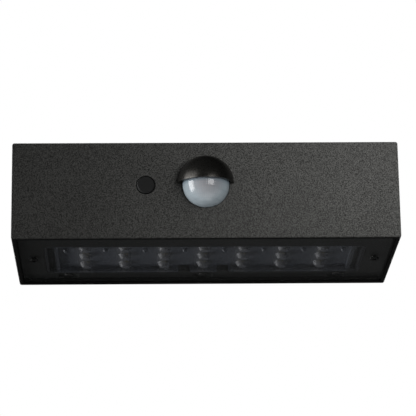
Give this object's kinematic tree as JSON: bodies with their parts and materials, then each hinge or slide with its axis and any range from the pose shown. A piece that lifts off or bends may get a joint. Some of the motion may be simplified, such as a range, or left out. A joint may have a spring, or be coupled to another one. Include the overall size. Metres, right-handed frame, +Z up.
{
  "type": "solar fence light",
  "caption": "Box-shaped wall-mounted solar light that shines down through a smoky lens window, with a hooded motion-sensor dome and a round mode button on its front.",
  "frame": {"origin": "centre of the back mounting face, on the wall", "axes": "+Y into the wall, so the lamp reaches out to -Y; +Z up; +X to the right of someone who faces the lamp"},
  "size_m": [0.2, 0.1005, 0.052],
  "materials": {
    "case_plastic": "fine-grained dark grey moulded ABS",
    "tray_plastic": "satin black moulded plastic",
    "soft_rubber": "matt black silicone rubber",
    "button_rubber": "matt black rubber",
    "steel": "plated steel",
    "panel_board": "laminate backing board",
    "solar_cell": "deep blue-black silicon",
    "panel_front": "clear laminated front",
    "smoky_cover": "smoky clear polycarbonate",
    "clear_lens": "clear moulded acrylic",
    "light_board": "white-faced metal-core board",
    "light_chip": "yellow phosphor light chip",
    "hood_plastic": "glossy black moulded plastic",
    "milky_lens": "milky polyethylene with fine lens cells",
    "switch_plastic": "black switch plastic",
    "circuit_board": "green glass-fibre board",
    "chip_black": "black moulded packages",
    "socket_white": "off-white nylon",
    "cell_wrap": "plain blue shrink sleeve over a metal can",
    "lead_jacket": "black lead jacket"
  },
  "bodies": {
    "lamp": {"housing": "case_plastic", "back_plate": "case_plastic", "back_gasket": "soft_rubber", "back_screws": "steel", "solar_bed": "soft_rubber", "solar_board": "panel_board", "solar_cells": "solar_cell", "solar_glass": "panel_front", "led_cover": "smoky_cover", "cover_seal": "soft_rubber", "cover_screws": "steel", "tray_screws": "steel", "led_tray": "tray_plastic", "lens_array": "clear_lens", "led_board": "light_board", "leds": "light_chip", "led_board_screws": "steel", "pir_hood": "hood_plastic", "pir_lens": "milky_lens", "pir_gasket": "soft_rubber", "pir_retainer": "tray_plastic", "retainer_screws": "steel", "pir_sensor": "steel", "sensor_spacer": "tray_plastic", "button_seal": "soft_rubber", "switch_body": "switch_plastic", "main_board": "circuit_board", "main_board_screws": "steel", "board_chips": "chip_black", "board_sockets": "socket_white", "lead_plugs": "socket_white", "battery_cell": "cell_wrap", "battery_holder": "tray_plastic", "battery_contacts": "steel", "holder_screws": "steel", "solar_lead": "lead_jacket", "battery_lead": "lead_jacket", "led_lead": "lead_jacket"},
    "button": {"button_cap": "button_rubber", "switch_plunger": "switch_plastic"}
  },
  "joints": [
    {"name": "button_press", "type": "slide", "parent": "lamp", "child": "button", "axis": [0, 1, 0], "range_m": [0, 0.0005], "stiffness_N_per_m": 800}
  ]
}
